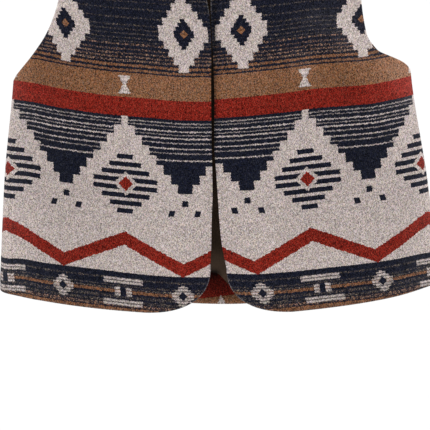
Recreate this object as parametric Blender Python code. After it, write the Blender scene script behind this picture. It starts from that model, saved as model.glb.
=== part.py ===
"""Open wool gilet in its worn form: two fronts, a back, the back's lining and its turned-up hem.

Metres, +Z up. The origin is in the middle of the neck opening, level with the middle of the shoulder seams.
The fronts face -Y, and the wearer's left is +X. Each panel is a grid laid on the worn form and given a wall.
"""

import math
from collections import namedtuple

import bmesh
import bpy
from mathutils import Vector

# Cloth
WOOL_WALL = 0.0025
LINING_WALL = 0.001
SEAM_GAP = 0.0003

# Shoulders and neck
NECK_POINT_X = 0.080
NECK_POINT_Z = 0.020
SHOULDER_POINT_X = 0.168
SHOULDER_POINT_Z = -0.016
NECK_ROUND = 0.050
BACK_NECK_Z = -0.002
BACK_NECK_CURVE = 2.5
V_CURVE = 2.0
CAP = {"front": 0.170, "back": 0.190}

# Fronts and hem
CORNER_WIDTH = 0.064
CORNER_HEIGHT = 0.049
CORNER_CURVE = 2.35
BACK_HEM_Z = -0.487
FACING_ROWS = 3
LINING_FIRST_ROW = 1

# Worn form: half widths on the wearer's right and left, and depths before and behind the side seams
Ring = namedtuple("Ring", "level right left front back")
FORM = (
    Ring(0.060, 0.206, 0.204, 0.107, 0.112),
    Ring(-0.110, 0.214, 0.211, 0.113, 0.117),
    Ring(-0.218, 0.2190, 0.2175, 0.119, 0.113),
    Ring(-0.330, 0.2285, 0.235, 0.120, 0.110),
    Ring(-0.490, 0.2370, 0.256, 0.129, 0.125),
)

# Levels on each side as the cloth hangs: underarm, hem at the side seam and at the front, foot of the neckline
Side = namedtuple("Side", "name sign underarm hem front_hem v_foot")
SIDES = {
    "right": Side("right", -1, -0.224, -0.4550, -0.4645, -0.150),
    "left": Side("left", 1, -0.212, -0.4445, -0.4655, -0.122),
}

# Armholes: narrowest half width, the level where it is reached, and how square the scoop is across and up
Armhole = namedtuple("Armhole", "x top across up")
ARMHOLES = {
    ("front", "right"): Armhole(0.163, -0.100, 0.90, 2.5),
    ("front", "left"): Armhole(0.157, -0.133, 0.70, 4.0),
    ("back", "right"): Armhole(0.156, -0.110, 1.6, 2.2),
    ("back", "left"): Armhole(0.151, -0.115, 1.5, 2.6),
}

# Front edges: distance from the centre line to each side. The left front swings open towards the hem
Edge = namedtuple("Edge", "level right left")
EDGES = (
    Edge(-0.120, 0.0056, -0.0012),
    Edge(-0.150, 0.0046, -0.0011),
    Edge(-0.175, 0.0030, 0.0002),
    Edge(-0.230, 0.0021, 0.0017),
    Edge(-0.290, 0.0012, 0.0027),
    Edge(-0.355, 0.0012, 0.0055),
    Edge(-0.415, 0.0017, 0.0152),
    Edge(-0.470, 0.0020, 0.0300),
)

# Soft folds, largest at their foot: turn from the centre line and width in degrees, rise in metres
Fold = namedtuple("Fold", "panel turn lean top foot width rise")
FOLDS = (
    Fold("front", -38, 10, -0.26, -0.47, 15, 0.0040),
    Fold("front", -66, -6, -0.24, -0.46, 9, -0.0030),
    Fold("front", 44, -12, -0.25, -0.47, 16, 0.0050),
    Fold("front", 69, 4, -0.23, -0.45, 9, -0.0035),
    Fold("back", -52, 10, -0.20, -0.47, 12, 0.0045),
    Fold("back", -18, 8, -0.14, -0.48, 13, 0.0050),
    Fold("back", 6, -4, -0.22, -0.48, 9, -0.0040),
    Fold("back", 30, -10, -0.16, -0.48, 13, 0.0055),
    Fold("back", 60, -6, -0.22, -0.46, 10, 0.0035),
)

# Grid of each panel: rows in a stage and the height share where the stage ends, then columns in the same way
Stage = namedtuple("Stage", "name count end")
FRONT_ROWS = (Stage("corner", 3, 0.07), Stage("side", 10, 0.46), Stage("scoop", 6, 0.62), Stage("top", 12, 1.0))
FRONT_COLUMNS = (Stage("corner", 3, 0.13), Stage("hem", 12, 1.0))
BACK_ROWS = (Stage("side", 12, 0.46), Stage("scoop", 6, 0.62), Stage("top", 12, 1.0))
BACK_COLUMNS = (Stage("right", 7, 0.29), Stage("neck", 10, 0.71), Stage("left", 7, 1.0))

SCOOP_SHARE = 0.42
ARMHOLE_STEPS = 60
RELAX_ROUNDS = 24
STEP = 0.0001
FACING_SIGN = {"front": -1, "back": 1}

# Colours and surface of each cloth
Finish = namedtuple("Finish", "colour roughness")
FINISHES = {
    "wool_front_right": Finish((0.42, 0.36, 0.34), 0.95),
    "wool_front_left": Finish((0.42, 0.36, 0.34), 0.95),
    "wool_back": Finish((0.40, 0.34, 0.32), 0.95),
    "wool_hem": Finish((0.19, 0.02, 0.014), 0.95),
    "lining_satin": Finish((0.055, 0.036, 0.024), 0.45),
}


def smooth(share):
    """Eased step from 0 to 1."""
    share = min(1.0, max(0.0, share))
    return share * share * (3 - 2 * share)


def mix(a, b, share):
    return a + (b - a) * share


def curve(table, column, level):
    """A column of a table at a level, on a smooth curve through the table's rows."""
    rows = sorted(table)
    levels = [row.level for row in rows]
    values = [getattr(row, column) for row in rows]
    level = min(levels[-1], max(levels[0], level))
    i = max(k for k in range(len(rows) - 1) if levels[k] <= level)
    slopes = []
    for k in (i, i + 1):
        low, high = max(0, k - 1), min(len(rows) - 1, k + 1)
        slopes.append((values[high] - values[low]) / (levels[high] - levels[low]))
    span = levels[i + 1] - levels[i]
    s = (level - levels[i]) / span
    return (
        values[i] * (1 + 2 * s) * (1 - s) ** 2
        + slopes[0] * span * s * (1 - s) ** 2
        + values[i + 1] * s * s * (3 - 2 * s)
        - slopes[1] * span * s * s * (1 - s)
    )


def ring_size(column, level):
    return curve(FORM, column, level)


def half_width(x, level):
    return ring_size("left" if x > 0 else "right", level)


SHOULDER_SLOPE = (NECK_POINT_Z - SHOULDER_POINT_Z) / (
    math.hypot(SHOULDER_POINT_X, NECK_ROUND) - math.hypot(NECK_POINT_X, NECK_ROUND)
)


def shoulder_line(x):
    """Height of the shoulder seam above a point across the body."""
    return NECK_POINT_Z + SHOULDER_SLOPE * (math.hypot(NECK_POINT_X, NECK_ROUND) - math.hypot(x, NECK_ROUND))


def fall_of(drop, panel):
    """Fall below the shoulder line, and share of the full depth, at a cloth distance from the seam."""
    cap = CAP[panel]
    if drop < cap * math.pi / 2:
        return cap * (1 - math.cos(drop / cap)), math.sin(drop / cap)
    return cap + drop - cap * math.pi / 2, 1.0


def drop_of(fall, panel):
    """Cloth distance from the shoulder seam of a point that far below the shoulder line."""
    cap = CAP[panel]
    if fall < cap:
        return cap * math.acos(1 - max(0.0, fall) / cap)
    return cap * math.pi / 2 + fall - cap


def plain_point(turn, drop, panel):
    """The worn form without folds: turn round the body from the centre line, drop along the cloth."""
    fall, share = fall_of(drop, panel)
    x = SHOULDER_POINT_X * math.sin(turn)
    for _ in range(5):
        z = shoulder_line(x) - fall
        x = half_width(turn, z) * math.sin(turn)
    z = shoulder_line(x) - fall
    y = FACING_SIGN[panel] * ring_size(panel, z) * math.cos(turn) * share
    return Vector((x, y, z))


def fold_rise(turn, level, panel):
    """How far the folds stand out, fading to nothing at the side seams."""
    degrees = math.degrees(turn)
    total = 0.0
    for fold in FOLDS:
        if fold.panel == panel:
            down = (fold.top - level) / (fold.top - fold.foot)
            centre = fold.turn + fold.lean * (1 - down)
            total += fold.rise * smooth(down) * math.exp(-(((degrees - centre) / fold.width) ** 2))
    return total * (1 - (degrees / 90) ** 6)


def outward(turn, drop, panel, point):
    """Unit normal of a surface function, away from the wearer."""
    side = point(turn + STEP, drop, panel) - point(turn - STEP, drop, panel)
    down = point(turn, drop + STEP, panel) - point(turn, drop - STEP, panel)
    normal = side.cross(down).normalized()
    return normal if panel == "back" else -normal


def folded_point(turn, drop, panel):
    base = plain_point(turn, drop, panel)
    rise = fold_rise(turn, base.z, panel)
    if abs(rise) < 1e-7:
        return base
    return base + outward(turn, drop, panel, plain_point) * rise


def cloth_place(x, z, panel):
    """(turn, drop) of a point of the cut, given across the body and up it."""
    turn = math.asin(min(1.0, max(-1.0, x / half_width(x, z))))
    return turn, drop_of(shoulder_line(x) - z, panel)


def seam_inset(panel, z):
    """Half the seam's gap as a turn at the side seam."""
    return SEAM_GAP / 2 / ring_size(panel, z)


def side_seam(side, share, panel):
    """From the hem up to the underarm."""
    z = mix(side.hem, side.underarm, share)
    reach = half_width(side.sign, z)
    return side.sign * (math.pi / 2 - seam_inset(panel, z)), drop_of(shoulder_line(reach) - z, panel)


def armhole_points(side, panel):
    """The armhole's curve, (x, z) from the underarm through the scoop to the shoulder point."""
    arm = ARMHOLES[panel, side.name]
    low_x = half_width(side.sign, side.underarm)
    points = []
    for k in range(ARMHOLE_STEPS + 1):
        angle = math.pi / 2 * k / ARMHOLE_STEPS
        x = mix(low_x, arm.x, math.sin(angle) ** (2 / arm.across))
        z = mix(arm.top, side.underarm, abs(math.cos(angle)) ** (2 / arm.up))
        points.append((x, z))
    for k in range(1, ARMHOLE_STEPS + 1):
        rise = k / ARMHOLE_STEPS
        points.append((mix(arm.x, SHOULDER_POINT_X, rise * rise), mix(arm.top, SHOULDER_POINT_Z, rise)))
    return points


def along(points, share):
    """The point at a share of a polyline's length."""
    lengths = [math.dist(a, b) for a, b in zip(points, points[1:])]
    left = share * sum(lengths)
    for (a, b), length in zip(zip(points, points[1:]), lengths):
        if left <= length:
            return tuple(mix(a[k], b[k], left / length) for k in (0, 1))
        left -= length
    return points[-1]


def armhole(side, share, panel):
    """A share of the armhole's length, from the underarm up to the shoulder point."""
    x, z = along(armhole_points(side, panel), share)
    turn, drop = cloth_place(side.sign * x, z, panel)
    limit = math.pi / 2 - seam_inset(panel, z)
    return max(-limit, min(limit, turn)), max(drop, seam_drop(panel))


def seam_drop(panel):
    """Half the seam's gap as a drop at the shoulder seam."""
    return SEAM_GAP / 2 * CAP[panel] / ring_size(panel, 0.0) * 1.5


def shoulder_seam(side, share, panel):
    """From the neck point out to the shoulder point."""
    x = side.sign * mix(NECK_POINT_X, SHOULDER_POINT_X, share)
    turn, _ = cloth_place(x, shoulder_line(x), panel)
    return turn, seam_drop(panel)


def hem_z(turn, side, panel):
    centre = side.front_hem if panel == "front" else BACK_HEM_Z
    return mix(side.hem, centre, math.cos(turn) ** 2)


def hem(turn, side, panel):
    x = half_width(turn, side.hem) * math.sin(turn)
    return cloth_place(x, hem_z(turn, side, panel), panel)


def front_edge_x(side, z):
    """The front edge's distance from the centre line."""
    return curve(EDGES, side.name, z)


def front_corner(side, share):
    """The rounded corner from the front edge, share 0, to the hem, share 1."""
    top_z = side.front_hem + CORNER_HEIGHT
    edge_x = front_edge_x(side, top_z)
    foot_x = edge_x + CORNER_WIDTH
    foot_z = hem_z(math.asin(foot_x / half_width(side.sign, side.hem)), side, "front")
    angle = share * math.pi / 2
    x = foot_x - CORNER_WIDTH * math.cos(angle) ** (2 / CORNER_CURVE)
    z = top_z + (foot_z - top_z) * math.sin(angle) ** (2 / CORNER_CURVE)
    return cloth_place(side.sign * x, z, "front")


def front_edge(side, stage, share):
    """The front panel's inner boundary: half the corner, the straight edge, then the neckline."""
    corner_z = side.front_hem + CORNER_HEIGHT
    if stage == "corner":
        return front_corner(side, 0.5 - 0.5 * share)
    if stage == "top":
        z = mix(side.v_foot, NECK_POINT_Z, share)
        x = mix(front_edge_x(side, z), NECK_POINT_X, share**V_CURVE)
        turn, drop = cloth_place(side.sign * x, z, "front")
        return turn, max(drop, seam_drop("front"))
    low, high = (corner_z, side.underarm) if stage == "side" else (side.underarm, side.v_foot)
    z = mix(low, high, share)
    return cloth_place(side.sign * front_edge_x(side, z), z, "front")


def outer_edge(side, stage, height, share, underarm_height, panel):
    """A panel's side boundary: the side seam, then the armhole."""
    if stage in ("corner", "side"):
        return side_seam(side, height / underarm_height, panel)
    if stage == "scoop":
        return armhole(side, SCOOP_SHARE * share, panel)
    return armhole(side, mix(SCOOP_SHARE, 1.0, share), panel)


def steps_of(stages):
    """(stage name, share of the stage, share of the whole) at each grid line."""
    lines = [(stages[0].name, 0.0, 0.0)]
    start = 0.0
    for stage in stages:
        for k in range(1, stage.count + 1):
            share = k / stage.count
            lines.append((stage.name, share, mix(start, stage.end, share)))
        start = stage.end
    return lines


def end_of(stages, name):
    return next(stage.end for stage in stages if stage.name == name)


def relax(grid):
    """Evens out a grid: each point inside it moves to the middle of its four neighbours, a few times over."""
    for _ in range(RELAX_ROUNDS):
        before = [list(line) for line in grid]
        for j in range(1, len(grid) - 1):
            for i in range(1, len(grid[0]) - 1):
                near = (before[j][i - 1], before[j][i + 1], before[j - 1][i], before[j + 1][i])
                grid[j][i] = tuple(sum(place[k] for place in near) / 4 for k in (0, 1))
    return grid


def fill_patch(columns, rows, inner, outer, foot, top):
    """Grid of (turn, drop) between four boundaries: a Coons patch."""
    grid = []
    for j, (_, _, q) in enumerate(rows):
        line = []
        for i, (_, _, p) in enumerate(columns):
            place = []
            for k in (0, 1):
                sides = mix(inner[j][k], outer[j][k], p) + mix(foot[i][k], top[i][k], q)
                corners = mix(mix(foot[0][k], foot[-1][k], p), mix(top[0][k], top[-1][k], p), q)
                place.append(sides - corners)
            line.append(tuple(place))
        grid.append(line)
    return grid


def front_grid(side):
    rows, columns = steps_of(FRONT_ROWS), steps_of(FRONT_COLUMNS)
    underarm = end_of(FRONT_ROWS, "side")
    inner = [front_edge(side, stage, share) for stage, share, _ in rows]
    inner[0] = front_corner(side, 0.5)
    outer = [outer_edge(side, stage, q, share, underarm, "front") for stage, share, q in rows]
    corner_turn = front_corner(side, 1.0)[0]
    limit = outer[0][0]
    foot = [
        front_corner(side, 0.5 + 0.5 * share)
        if stage == "corner"
        else hem(mix(corner_turn, limit, share), side, "front")
        for stage, share, _ in columns
    ]
    top = [shoulder_seam(side, p, "front") for _, _, p in columns]
    return fill_patch(columns, rows, inner, outer, foot, top)


def back_top(stage, share):
    """The back's upper boundary: right shoulder, neckline, left shoulder."""
    if stage == "right":
        return shoulder_seam(SIDES["right"], 1 - share, "back")
    if stage == "left":
        return shoulder_seam(SIDES["left"], share, "back")
    x = mix(-NECK_POINT_X, NECK_POINT_X, share)
    z = mix(BACK_NECK_Z, NECK_POINT_Z, abs(x / NECK_POINT_X) ** BACK_NECK_CURVE)
    turn, drop = cloth_place(x, z, "back")
    return turn, max(drop, seam_drop("back"))


def back_grid():
    right, left = SIDES["right"], SIDES["left"]
    rows, columns = steps_of(BACK_ROWS), steps_of(BACK_COLUMNS)
    underarm = end_of(BACK_ROWS, "side")
    inner = [outer_edge(right, stage, q, share, underarm, "back") for stage, share, q in rows]
    outer = [outer_edge(left, stage, q, share, underarm, "back") for stage, share, q in rows]
    turns = [mix(inner[0][0], outer[0][0], p) for _, _, p in columns]
    foot = [hem(turn, left if turn > 0 else right, "back") for turn in turns]
    top = [back_top(stage, share) for stage, share, _ in columns]
    return relax(fill_patch(columns, rows, inner, outer, foot, top))


def lay(grid, panel, inward=0.0):
    """Points of a grid on the folded form, or that far inside it. inward may differ for each row."""
    depths = inward if isinstance(inward, list) else [inward] * len(grid)
    return [
        [
            folded_point(turn, drop, panel) - outward(turn, drop, panel, folded_point) * depth
            for turn, drop in line
        ]
        for line, depth in zip(grid, depths)
    ]


def make_wall(name, outside, inside, collection, material):
    """A closed wall: a grid moved to its outside points, extruded, and the copy moved to its inside points."""
    rows, columns = len(outside), len(outside[0])
    bm = bmesh.new()
    bmesh.ops.create_grid(bm, x_segments=columns - 1, y_segments=rows - 1, size=1.0)
    places = {}
    for vert in bm.verts:
        i = round((vert.co.x + 1) / 2 * (columns - 1))
        j = round((vert.co.y + 1) / 2 * (rows - 1))
        places[vert] = (i, j)
    made = bmesh.ops.extrude_face_region(bm, geom=bm.faces[:], use_keep_orig=True)
    for item in made["geom"]:
        if isinstance(item, bmesh.types.BMVert):
            i = round((item.co.x + 1) / 2 * (columns - 1))
            j = round((item.co.y + 1) / 2 * (rows - 1))
            item.co = inside[j][i]
    for vert, (i, j) in places.items():
        vert.co = outside[j][i]
    bmesh.ops.recalc_face_normals(bm, faces=bm.faces)
    mesh = bpy.data.meshes.new(name)
    bm.to_mesh(mesh)
    bm.free()
    mesh.shade_smooth()
    mesh.set_sharp_from_angle(angle=math.radians(50))
    mesh.materials.append(material)
    part = bpy.data.objects.new(name, mesh)
    collection.objects.link(part)
    return part


def cloth_material(name):
    finish = FINISHES[name]
    material = bpy.data.materials.new(name)
    material.use_nodes = True
    shader = material.node_tree.nodes["Principled BSDF"]
    shader.inputs["Base Color"].default_value = (*finish.colour, 1.0)
    shader.inputs["Roughness"].default_value = finish.roughness
    shader.inputs["Metallic"].default_value = 0.0
    return material


def make_fronts(collection):
    for name, side in SIDES.items():
        grid = front_grid(side)
        make_wall(
            f"front_{name}",
            lay(grid, "front"),
            lay(grid, "front", WOOL_WALL),
            collection,
            cloth_material(f"wool_front_{name}"),
        )


def make_back(collection):
    """The back, the hem turned up inside it, and the lining, which hangs over the top of that hem."""
    grid = back_grid()
    make_wall(
        "back", lay(grid, "back"), lay(grid, "back", WOOL_WALL), collection, cloth_material("wool_back")
    )
    hem_in = WOOL_WALL + SEAM_GAP
    hem_grid = [line[1:-1] for line in grid[: FACING_ROWS + 1]]
    make_wall(
        "back_hem",
        lay(hem_grid, "back", hem_in),
        lay(hem_grid, "back", hem_in + WOOL_WALL),
        collection,
        cloth_material("wool_hem"),
    )
    lining_grid = [line[1:-1] for line in grid[LINING_FIRST_ROW:-1]]
    over_hem = FACING_ROWS - LINING_FIRST_ROW + 1
    depths = [hem_in + (WOOL_WALL + SEAM_GAP if j <= over_hem else 0.0) for j in range(len(lining_grid))]
    make_wall(
        "back_lining",
        lay(lining_grid, "back", depths),
        lay(lining_grid, "back", [depth + LINING_WALL for depth in depths]),
        collection,
        cloth_material("lining_satin"),
    )


def main():
    for old in list(bpy.data.objects):
        bpy.data.objects.remove(old)
    collection = bpy.data.collections.new("gilet")
    bpy.context.scene.collection.children.link(collection)
    make_fronts(collection)
    make_back(collection)


main()
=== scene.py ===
"""Looks of the open wool gilet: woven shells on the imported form, a soft white studio and the photo's camera.

Metres, +Z up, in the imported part's frame: the fronts face -Y and the wearer's left is +X.
A place on the form is a turn round the body from the centre line, and a drop along the cloth from the
shoulder seam.
"""

import math
from collections import namedtuple
from functools import partialmethod

import bpy
import numpy as np
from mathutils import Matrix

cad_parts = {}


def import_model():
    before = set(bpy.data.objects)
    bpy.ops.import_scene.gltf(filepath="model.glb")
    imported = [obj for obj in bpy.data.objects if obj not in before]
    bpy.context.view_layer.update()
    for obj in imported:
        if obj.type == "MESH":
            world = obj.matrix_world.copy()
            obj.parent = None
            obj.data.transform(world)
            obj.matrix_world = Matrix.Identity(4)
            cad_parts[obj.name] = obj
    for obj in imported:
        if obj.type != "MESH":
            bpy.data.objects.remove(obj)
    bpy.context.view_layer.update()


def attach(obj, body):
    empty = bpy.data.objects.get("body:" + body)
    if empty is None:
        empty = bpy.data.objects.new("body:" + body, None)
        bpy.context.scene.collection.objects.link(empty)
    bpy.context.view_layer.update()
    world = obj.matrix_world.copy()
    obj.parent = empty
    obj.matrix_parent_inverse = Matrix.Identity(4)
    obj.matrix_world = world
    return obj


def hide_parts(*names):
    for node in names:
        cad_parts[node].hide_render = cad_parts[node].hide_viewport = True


def table(columns, *rows):
    """Rows of values with named columns."""
    row_kind = namedtuple("Row", columns)
    return [row_kind(*row) for row in rows]


def tables(columns, **groups):
    """Tables of the same columns, by name."""
    return {name: table(columns, *rows) for name, rows in groups.items()}


# Thickness of the cloths, and gaps in the seams and between layers
WOOL_WALL = 0.0025
LINING_WALL = 0.001
SEAM_GAP = 0.00004
LAYER_GAP = 0.0003

# Shoulders and neck
NECK_POINT_X = 0.080
NECK_POINT_Z = 0.020
SHOULDER_POINT_X = 0.168
SHOULDER_POINT_Z = -0.016
NECK_ROUND = 0.050
BACK_NECK_Z = -0.002
BACK_NECK_CURVE = 2.5
V_CURVE = 2.0
# How much closer the back neckline's points stand at its ends, and ease of the shoulder seam's gap
NECK_SPACING = 0.6
SHOULDER_EASE = 1.5
# Radius that the cloth turns with over the shoulder
CAP = {"front": 0.170, "back": 0.190}

# Rounded corners of the fronts, and the back's hem
CORNER_WIDTH = 0.068
CORNER_HEIGHT = 0.049
CORNER_CURVE = 2.35
BACK_HEM_Z = -0.4862
BACK_HEM_CURVE = 2

# Worn form: half widths on the wearer's right and left, and depths before and behind the side seams
FORM = table(
    "level right left front back",
    (0.060, 0.206, 0.204, 0.107, 0.112),
    (-0.110, 0.214, 0.211, 0.113, 0.117),
    (-0.218, 0.2178, 0.2163, 0.119, 0.113),
    (-0.330, 0.2285, 0.235, 0.120, 0.110),
    (-0.490, 0.2370, 0.256, 0.129, 0.125),
)

# Levels on each side as the cloth hangs, and the level of the red band's top edge at the side seam
Side = namedtuple("Side", "name sign underarm hem front_hem hem_curve v_foot red_top")
SIDES = {
    "right": Side("right", -1, -0.224, -0.4540, -0.4645, 4, -0.150, -0.2243),
    "left": Side("left", 1, -0.212, -0.4441, -0.4645, 2.4, -0.122, -0.2186),
}

# Front armholes: half width of the front from the underarm up to the shoulder
FRONT_ARMHOLES = tables(
    "level x",
    right=[
        (-0.224, 0.2180), (-0.2185, 0.2147), (-0.209, 0.2058), (-0.200, 0.1974), (-0.191, 0.1905),
        (-0.1737, 0.1791), (-0.1566, 0.1712), (-0.1375, 0.1652), (-0.120, 0.1630), (-0.100, 0.1618),
        (-0.060, 0.1632), (SHOULDER_POINT_Z, SHOULDER_POINT_X),
    ],
    left=[
        (-0.212, 0.2162), (-0.2095, 0.2132), (-0.2051, 0.2087), (-0.2002, 0.2001), (-0.1954, 0.1884),
        (-0.1907, 0.1771), (-0.1863, 0.1726), (-0.1777, 0.1662), (-0.1691, 0.1626), (-0.1458, 0.1582),
        (-0.115, 0.1560), (-0.090, 0.1565), (-0.050, 0.1605), (SHOULDER_POINT_Z, SHOULDER_POINT_X),
    ],
)

# Back armholes: narrowest half width, its lowest level, and how square the scoop is across and up
Armhole = namedtuple("Armhole", "x top across up")
BACK_ARMHOLES = {
    "right": Armhole(0.156, -0.110, 1.6, 2.2),
    "left": Armhole(0.151, -0.115, 1.5, 2.6),
}

# Front edges: distance from the centre line to each side
EDGES = table(
    "level right left",
    (-0.120, 0.0092, -0.0012),
    (-0.150, 0.0048, -0.0011),
    (-0.175, 0.0030, 0.0002),
    (-0.230, 0.0030, 0.0026),
    (-0.290, 0.0023, 0.0025),
    (-0.310, 0.0018, 0.0041),
    (-0.340, 0.0014, 0.0063),
    (-0.365, 0.0023, 0.0079),
    (-0.390, 0.0027, 0.0103),
    (-0.415, 0.0036, 0.0152),
    (-0.470, 0.0042, 0.0300),
)

# Soft folds, largest at their foot: turn from the centre line and width in degrees, rise in metres
FOLDS = tables(
    "turn lean top foot width rise",
    front=[
        (-38, 10, -0.26, -0.47, 15, 0.0040),
        (-66, -6, -0.24, -0.46, 9, -0.0030),
        (44, -12, -0.25, -0.47, 16, 0.0050),
        (69, 4, -0.23, -0.45, 9, -0.0035),
    ],
    back=[
        (-52, 10, -0.20, -0.47, 12, 0.0045),
        (-18, 8, -0.14, -0.48, 13, 0.0050),
        (6, -4, -0.22, -0.48, 9, -0.0040),
        (30, -10, -0.16, -0.48, 13, 0.0055),
        (60, -6, -0.22, -0.46, 10, 0.0035),
    ],
)

# Creases: turn in degrees and level of both ends, half width and rise in metres
CREASES = tables(
    "turn level end_turn end_level width rise",
    front=[
        (36, -0.190, 50, -0.262, 0.011, -0.0025),
        (52, -0.172, 68, -0.246, 0.011, 0.0030),
        (75, -0.285, 60, -0.372, 0.010, -0.0016),
        (30, -0.300, 54, -0.268, 0.016, -0.0011),
        (-74, -0.236, -49, -0.290, 0.012, -0.0014),
        (-62, -0.330, -46, -0.402, 0.014, 0.0012),
        (-26, -0.040, -41, -0.150, 0.015, 0.0016),
        (25, -0.035, 37, -0.120, 0.014, 0.0014),
    ],
    back=[
        (-66, -0.236, -24, -0.318, 0.015, -0.0022),
        (64, -0.226, 33, -0.290, 0.013, -0.0025),
        (-34, -0.356, 16, -0.342, 0.017, -0.0018),
        (20, -0.392, 55, -0.362, 0.014, 0.0016),
        (-42, -0.070, -53, -0.190, 0.013, 0.0022),
        (38, -0.060, 52, -0.175, 0.015, 0.0020),
        (-20, -0.048, 14, -0.066, 0.018, -0.0014),
    ],
)
# Radius that a crease's turns are laid out on, its bow in half widths, and shares that fade out at its ends
CREASE_RADIUS = 0.175
CREASE_BOW = 0.6
CREASE_ENDS = 0.45
# Folds, creases and unevenness fade out at the side seams with this power of the turn
SIDE_FADE = 6

# Painted light and shade, patch by patch: middle and half size in degrees and metres, and gain
PAINTED_PATCHES = tables(
    "turn level wide tall gain",
    # Fronts: painted highlights at the underarms and on the chest, painted shade in other places
    front=[
        (76, -0.207, 21, 0.026, 0.42),
        (-76, -0.200, 20, 0.035, 0.09),
        (75, -0.234, 13, 0.013, 0.20),
        (19, -0.240, 7, 0.030, -0.08),
        (-51, -0.225, 9, 0.050, -0.05),
        (40, -0.220, 6, 0.030, -0.08),
        # Painted shadow along the edge of the front that lies behind the other
        (0.5, -0.200, 0.75, 0.160, -0.60),
        (-59, -0.328, 21, 0.055, -0.13),
        (-70, -0.275, 12, 0.030, -0.10),
        (40, -0.308, 7, 0.016, -0.08),
        (-38, -0.375, 22, 0.070, -0.08),
        (55, -0.345, 18, 0.045, -0.08),
        (23, -0.372, 8, 0.034, -0.06),
        (-12, -0.224, 12, 0.022, 0.09),
        (43, -0.176, 7, 0.030, 0.22),
        (26, -0.202, 5, 0.015, 0.18),
        (31, -0.155, 7, 0.016, 0.14),
        (-56, -0.212, 10, 0.022, -0.13),
        (11, -0.220, 7, 0.018, 0.12),
    ],
    # Back: painted highlights at the underarms, and slight painted shade and light lower down
    back=[
        (74, -0.215, 18, 0.030, 0.16),
        (-75, -0.225, 16, 0.035, 0.14),
        (-22, -0.300, 10, 0.050, -0.06),
        (34, -0.340, 12, 0.045, 0.06),
    ],
    # Lining: painted shade deep inside, a painted shadow under its lower edge, and painted highlights above it
    # and on its fold
    lining=[
        (0, -0.250, 90, 0.140, -0.60),
        (1.5, -0.437, 7, 0.013, 0.55),
        (0.4, -0.4512, 1.3, 0.0038, -2.30),
        (3.0, -0.4560, 1.3, 0.0060, 0.90),
    ],
    # Turned hem: painted shadow under the lining's edge
    facing=[
        (0.2, -0.4524, 1.4, 0.0034, -1.35),
    ],
)
# Gain of the painted light for each metre that a crease rises, a painted highlight on ridges and painted shade
# in troughs, and the least painted light
PAINTED_LIGHT_PER_RISE = 45.0
LEAST_PAINTED_LIGHT = 0.12
# Painted shade on the turned hem: light at its fold, fading into painted shade in the hollow above it
FACING_LIGHT = 1.2
FACING_DEEP = 0.10
FACING_FADE = 0.0135
# Levels between which the turned front edges show no pale rim, and how fast it comes in
RIM_FADE = 0.020
RIM_ABOVE_RIGHT = -0.158
RIM_ABOVE_LEFT = -0.125
RIM_BELOW = -0.412

# Slow unevenness of the cloth: waves round the body and up it, phase and height
RIPPLE = "around up phase height"
RIPPLES = table(
    RIPPLE,
    (5.0, 31.0, 0.4, 0.00055),
    (9.0, -22.0, 2.1, 0.00045),
    (14.0, 57.0, 4.4, 0.00022),
    (23.0, -38.0, 1.3, 0.00018),
)

# Grid of each panel: rows in a stage and the share of the height where it ends, then columns in the same way
STAGE = "name count end"
FRONT_ROWS = table(
    STAGE,
    ("corner", 16, 0.07),
    ("side", 76, 0.46),
    ("scoop", 36, 0.62),
    ("top", 78, 1.0),
)
FRONT_COLUMNS = table(STAGE, ("corner", 16, 0.13), ("hem", 92, 1.0))
BACK_ROWS = table(STAGE, ("side", 84, 0.46), ("scoop", 36, 0.62), ("top", 78, 1.0))
BACK_COLUMNS = table(STAGE, ("right", 49, 0.29), ("neck", 70, 0.71), ("left", 49, 1.0))
# Shares of the back's height that the turned hem and the lining take up, and margin beside the side seams
FACING_TOP = 0.115
LINING_FOOT = 0.0383
LINING_TOP = 0.968
INNER_MARGIN = 0.0414
# The lining's lower edge: mean lift above its solid's, swing of its wave, the harmonic that shapes the
# wave, waves a radian and turn of a peak
LINING_LIFT = -0.0013
LINING_SWING = 0.009
LINING_HARMONIC = 3
LINING_WAVES = 26.0
LINING_PEAK = -0.006
# Shares of the lining's height at which the edge's wave, the step over the turned hem, the slack, and the
# fading in at the foot and out at the top begin, and at which each is full
LINING_FADES = {
    "wave": (0.2, 0.0),
    "over_hem": (0.14, 0.09),
    "slack": (0.5, 0.0),
    "foot": (-0.005, 0.015),
    "top": (1.0, 0.94),
}
# How loosely the lining hangs: slack at the foot, share of it left at the top, and the bag above its edge
LINING_SLACK = 0.0016
SLACK_AT_TOP = 0.35
LINING_RIPPLES = table(RIPPLE, (17.0, 0.0, 0.6, 0.0010), (31.0, 0.0, 2.2, 0.0006))
BAG_RISE = 0.0032
BAG_HEIGHT = 0.035
BAG_SPREAD = 0.025

# Share of an armhole's length in its scoop, and how finely the form is worked out
SCOOP_SHARE = {"front": 0.60, "back": 0.40}
ARMHOLE_STEPS = 60
FORM_ROUNDS = 5
RELAX_ROUNDS = 1000
GAUSS_KNOTS = 24
STEP = 0.0001
TINY = 1e-12
# Which way along Y a panel faces
FACING_SIGN = {"front": -1, "back": 1}

# Edges of a cloth: how the face rolls over towards a turned edge, and sinks into a seam
EDGE_REACH = 0.0045
EDGE_DIP = 0.0007
SEAM_REACH = 0.0035
SEAM_DIP = 0.0010
RIM_STEPS = 5
RIM_BULGE = 0.0011
SEAM_BULGE = 0.00008

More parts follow.
